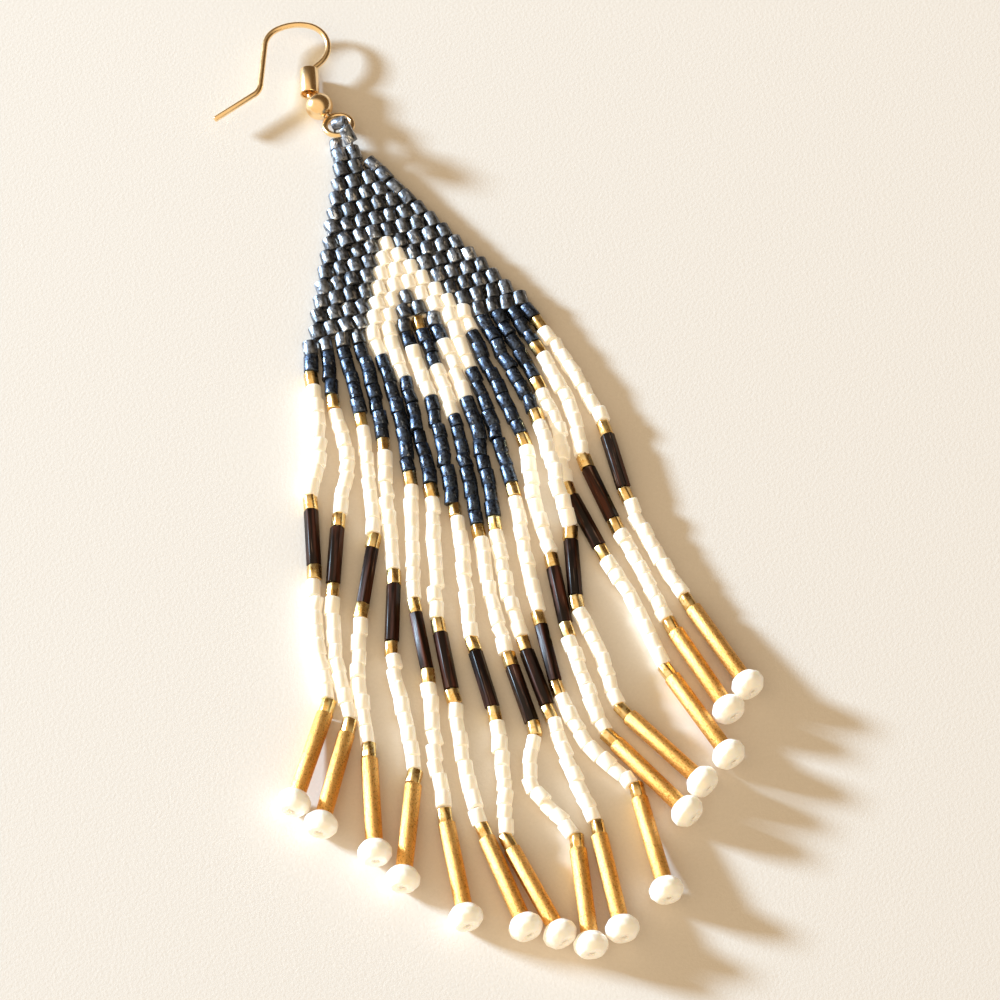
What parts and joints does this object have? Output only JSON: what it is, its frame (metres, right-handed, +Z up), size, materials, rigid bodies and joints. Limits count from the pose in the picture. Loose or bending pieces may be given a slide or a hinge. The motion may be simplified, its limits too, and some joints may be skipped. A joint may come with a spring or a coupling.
{
  "type": "fringe earring",
  "caption": "Fish-hook earring with a woven triangle of seed beads and a long fringe of bead strings that end in bugles, tubes and faceted beads.",
  "frame": {"origin": "middle of the lying earring's box in plan, on the surface that it rests on", "axes": "+Y from the fringe's tips to the ear hook, +X to the right along the rows of beads, +Z up off the surface"},
  "size_m": [0.0496, 0.1104, 0.004],
  "materials": {
    "gold": "polished",
    "denim_beads": "metallic gloss",
    "ivory_beads": "gloss",
    "satin_gold": "satin",
    "white_beads": "gloss"
  },
  "bodies": {
    "root": {"ear_hook": "gold", "hook_sleeve": "gold", "hook_ball": "gold", "bead_loop": "denim_beads", "bead_panel": "denim_beads", "strand_1": "ivory_beads", "strand_2": "ivory_beads", "strand_3": "ivory_beads", "strand_4": "ivory_beads", "strand_5": "ivory_beads", "strand_6": "ivory_beads", "strand_7": "ivory_beads", "strand_8": "ivory_beads", "strand_9": "ivory_beads", "strand_10": "ivory_beads", "strand_11": "ivory_beads", "strand_12": "ivory_beads", "strand_13": "ivory_beads", "strand_14": "ivory_beads", "strand_15": "ivory_beads", "gold_tube_1": "satin_gold", "gold_tube_2": "satin_gold", "gold_tube_3": "satin_gold", "gold_tube_4": "satin_gold", "gold_tube_5": "satin_gold", "gold_tube_6": "satin_gold", "gold_tube_7": "satin_gold", "gold_tube_8": "satin_gold", "gold_tube_9": "satin_gold", "gold_tube_10": "satin_gold", "gold_tube_11": "satin_gold", "gold_tube_12": "satin_gold", "gold_tube_13": "satin_gold", "gold_tube_14": "satin_gold", "gold_tube_15": "satin_gold", "end_bead_1": "white_beads", "end_bead_2": "white_beads", "end_bead_3": "white_beads", "end_bead_4": "white_beads", "end_bead_5": "white_beads", "end_bead_6": "white_beads", "end_bead_7": "white_beads", "end_bead_8": "white_beads", "end_bead_9": "white_beads", "end_bead_10": "white_beads", "end_bead_11": "white_beads", "end_bead_12": "white_beads", "end_bead_13": "white_beads", "end_bead_14": "white_beads", "end_bead_15": "white_beads"}
  },
  "joints": []
}
